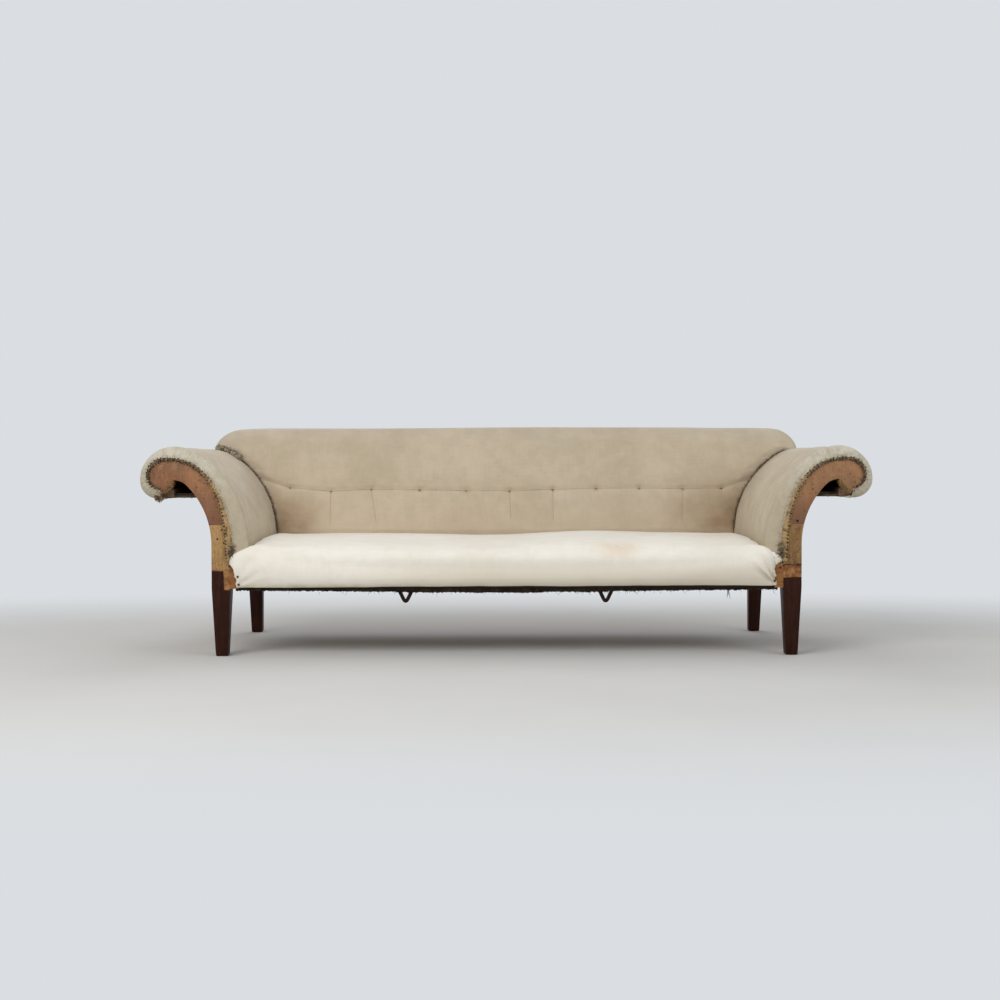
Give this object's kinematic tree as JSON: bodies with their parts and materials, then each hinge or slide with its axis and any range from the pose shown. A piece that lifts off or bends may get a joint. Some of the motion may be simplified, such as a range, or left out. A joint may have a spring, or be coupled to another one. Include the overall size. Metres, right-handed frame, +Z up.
{
  "type": "english roll arm sofa",
  "caption": "Long english roll arm sofa stripped to calico: fixed sprung seat, stab-stitched back, bare wooden scroll arm fronts and square tapered legs.",
  "frame": {"origin": "on the floor, below the middle of the sofa", "axes": "+X to the viewer's right along the sofa, +Y to the back, +Z up"},
  "size_m": [2.4, 0.826, 0.768],
  "materials": {
    "calico_seat": "matte, plain weave",
    "calico_back": "matte, plain weave, aged",
    "calico_arm": "matte, plain weave, aged",
    "hessian": "coarse open weave",
    "webbing": "herringbone jute",
    "twine": "waxed",
    "bottoming": "matte, frayed",
    "leg_wood": "dark polish on the leg, bare wood above",
    "scroll_wood": "stained, worn",
    "frame_wood": "bare, rough sawn",
    "spring_wire": "dull, dark",
    "strap_iron": "rusty"
  },
  "bodies": {
    "root": {"arm_hessian_left": "hessian", "arm_hessian_right": "hessian", "arm_pad_left": "calico_arm", "arm_pad_right": "calico_arm", "arm_scroll_rail_left": "frame_wood", "arm_scroll_rail_right": "frame_wood", "arm_tacking_rail_left": "frame_wood", "arm_tacking_rail_right": "frame_wood", "arm_top_rail_left": "frame_wood", "arm_top_rail_right": "frame_wood", "arm_under_rail_left": "frame_wood", "arm_under_rail_right": "frame_wood", "arm_webbing_left": "webbing", "arm_webbing_right": "webbing", "back_corner_left": "frame_wood", "back_corner_right": "frame_wood", "back_hessian": "hessian", "back_pad": "calico_back", "back_stiles": "frame_wood", "back_tacking_rail": "frame_wood", "back_top_rail": "frame_wood", "back_tufts": "twine", "back_webs_level": "webbing", "back_webs_upright": "webbing", "bottoming_strip": "bottoming", "corner_blocks": "frame_wood", "facing_band_left": "hessian", "facing_band_right": "hessian", "front_leg_left": "leg_wood", "front_leg_right": "leg_wood", "front_seat_rail": "frame_wood", "outside_arm_lining_left": "hessian", "outside_arm_lining_right": "hessian", "outside_back_lining": "hessian", "post_patch_right": "hessian", "rail_hooks": "strap_iron", "rear_leg_left": "leg_wood", "rear_leg_right": "leg_wood", "rear_seat_rail": "frame_wood", "scroll_board_front_left": "scroll_wood", "scroll_board_front_right": "scroll_wood", "scroll_board_rear_left": "frame_wood", "scroll_board_rear_right": "frame_wood", "scroll_dowels": "frame_wood", "seat_pad": "calico_seat", "seat_springs": "spring_wire", "seat_stretchers": "frame_wood", "seat_webs_cross": "webbing", "seat_webs_long": "webbing", "side_seat_rail_left": "frame_wood", "side_seat_rail_right": "frame_wood", "spring_hessian": "hessian"}
  },
  "joints": []
}
